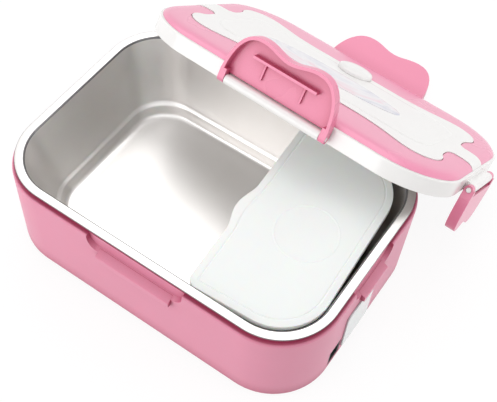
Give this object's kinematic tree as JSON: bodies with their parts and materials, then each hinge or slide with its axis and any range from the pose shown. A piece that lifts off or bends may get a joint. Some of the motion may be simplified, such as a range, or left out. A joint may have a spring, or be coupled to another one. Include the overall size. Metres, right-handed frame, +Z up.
{
  "type": "electric lunch box",
  "caption": "Heated lunch box: round-cornered base with a lift-out steel container and a covered side box, and a loose lid with hinged snap latches leaning on its rim.",
  "frame": {"origin": "on the table under the middle of the base, in the plane of the rubber feet", "axes": "+X along the base's long side, towards the power inlet; +Y to the back, where the lid leans; +Z up"},
  "size_m": [0.2657, 0.3116, 0.1382],
  "materials": {
    "pink_plastic": "glossy",
    "bright_pink_plastic": "glossy",
    "white_plastic": "glossy",
    "white_box_plastic": "satin",
    "liner_plastic": "satin",
    "label_film": "glossy",
    "foot_rubber": "matte",
    "gasket_rubber": "matte",
    "stainless_steel": "satin",
    "screw_steel": "satin",
    "plate_aluminium": "satin",
    "heater_ceramic": "matte",
    "inlet_plastic": "matte",
    "pin_brass": "satin",
    "wire_brown": "matte",
    "wire_blue": "matte"
  },
  "bodies": {
    "base": {"outer_shell": "pink_plastic", "bottom_cover": "pink_plastic", "rubber_feet": "foot_rubber", "bottom_screws": "screw_steel", "inner_liner": "liner_plastic", "heating_plate": "plate_aluminium", "ptc_heater": "heater_ceramic", "heater_clamp": "screw_steel", "clamp_screws": "screw_steel", "thermostat": "heater_ceramic", "thermal_fuse": "heater_ceramic", "power_inlet": "inlet_plastic", "inlet_pins": "pin_brass", "lead_live": "wire_brown", "lead_bridge": "wire_brown", "lead_return": "wire_blue", "side_plate": "label_film"},
    "container": {"steel_container": "stainless_steel"},
    "side_box": {"side_box": "white_box_plastic"},
    "side_box_cover": {"side_box_cover": "white_box_plastic"},
    "lid": {"lid_cover": "white_plastic", "lid_inner_panel": "white_box_plastic", "lid_gasket": "gasket_rubber", "trim_front": "bright_pink_plastic", "trim_rear": "bright_pink_plastic", "lid_label": "label_film"},
    "vent_plug": {"vent_plug": "white_plastic"},
    "front_latch": {"front_latch": "bright_pink_plastic"},
    "right_latch": {"right_latch": "bright_pink_plastic"},
    "rear_latch": {"rear_latch": "bright_pink_plastic"},
    "left_latch": {"left_latch": "bright_pink_plastic"}
  },
  "joints": [
    {"name": "container_lift", "type": "slide", "parent": "base", "child": "container", "axis": [0, 0, 1], "range_m": [0, 0.09]},
    {"name": "side_box_lift", "type": "slide", "parent": "container", "child": "side_box", "axis": [0, 0, 1], "range_m": [0, 0.08]},
    {"name": "side_box_cover_lift", "type": "slide", "parent": "side_box", "child": "side_box_cover", "axis": [0, 0, 1], "range_m": [0, 0.06]},
    {"name": "lid_lift", "type": "slide", "parent": "side_box_cover", "child": "lid", "axis": [0, 0, 1], "range_m": [0, 0.12]},
    {"name": "vent_lift", "type": "slide", "parent": "lid", "child": "vent_plug", "axis": [0.0273, 0.5786, 0.8151], "range_m": [0, 0.003]},
    {"name": "front_latch_hinge", "type": "hinge", "parent": "lid", "child": "front_latch", "pos_m": [0.01199, 0.04271, 0.10638], "axis": [0.9989, -0.0471, 0], "range_deg": [0, 178]},
    {"name": "right_latch_hinge", "type": "hinge", "parent": "lid", "child": "right_latch", "pos_m": [0.13866, 0.1092, 0.05494], "axis": [-0.0384, -0.8142, 0.5793], "range_deg": [0, 178]},
    {"name": "rear_latch_hinge", "type": "hinge", "parent": "lid", "child": "rear_latch", "pos_m": [0.0188, 0.18732, 0.0035], "axis": [0.9989, -0.0471, 0], "range_deg": [-125.4, 52.6]},
    {"name": "left_latch_hinge", "type": "hinge", "parent": "lid", "child": "left_latch", "pos_m": [-0.10787, 0.12083, 0.05494], "axis": [0.0384, 0.8142, -0.5793], "range_deg": [0, 178]}
  ]
}
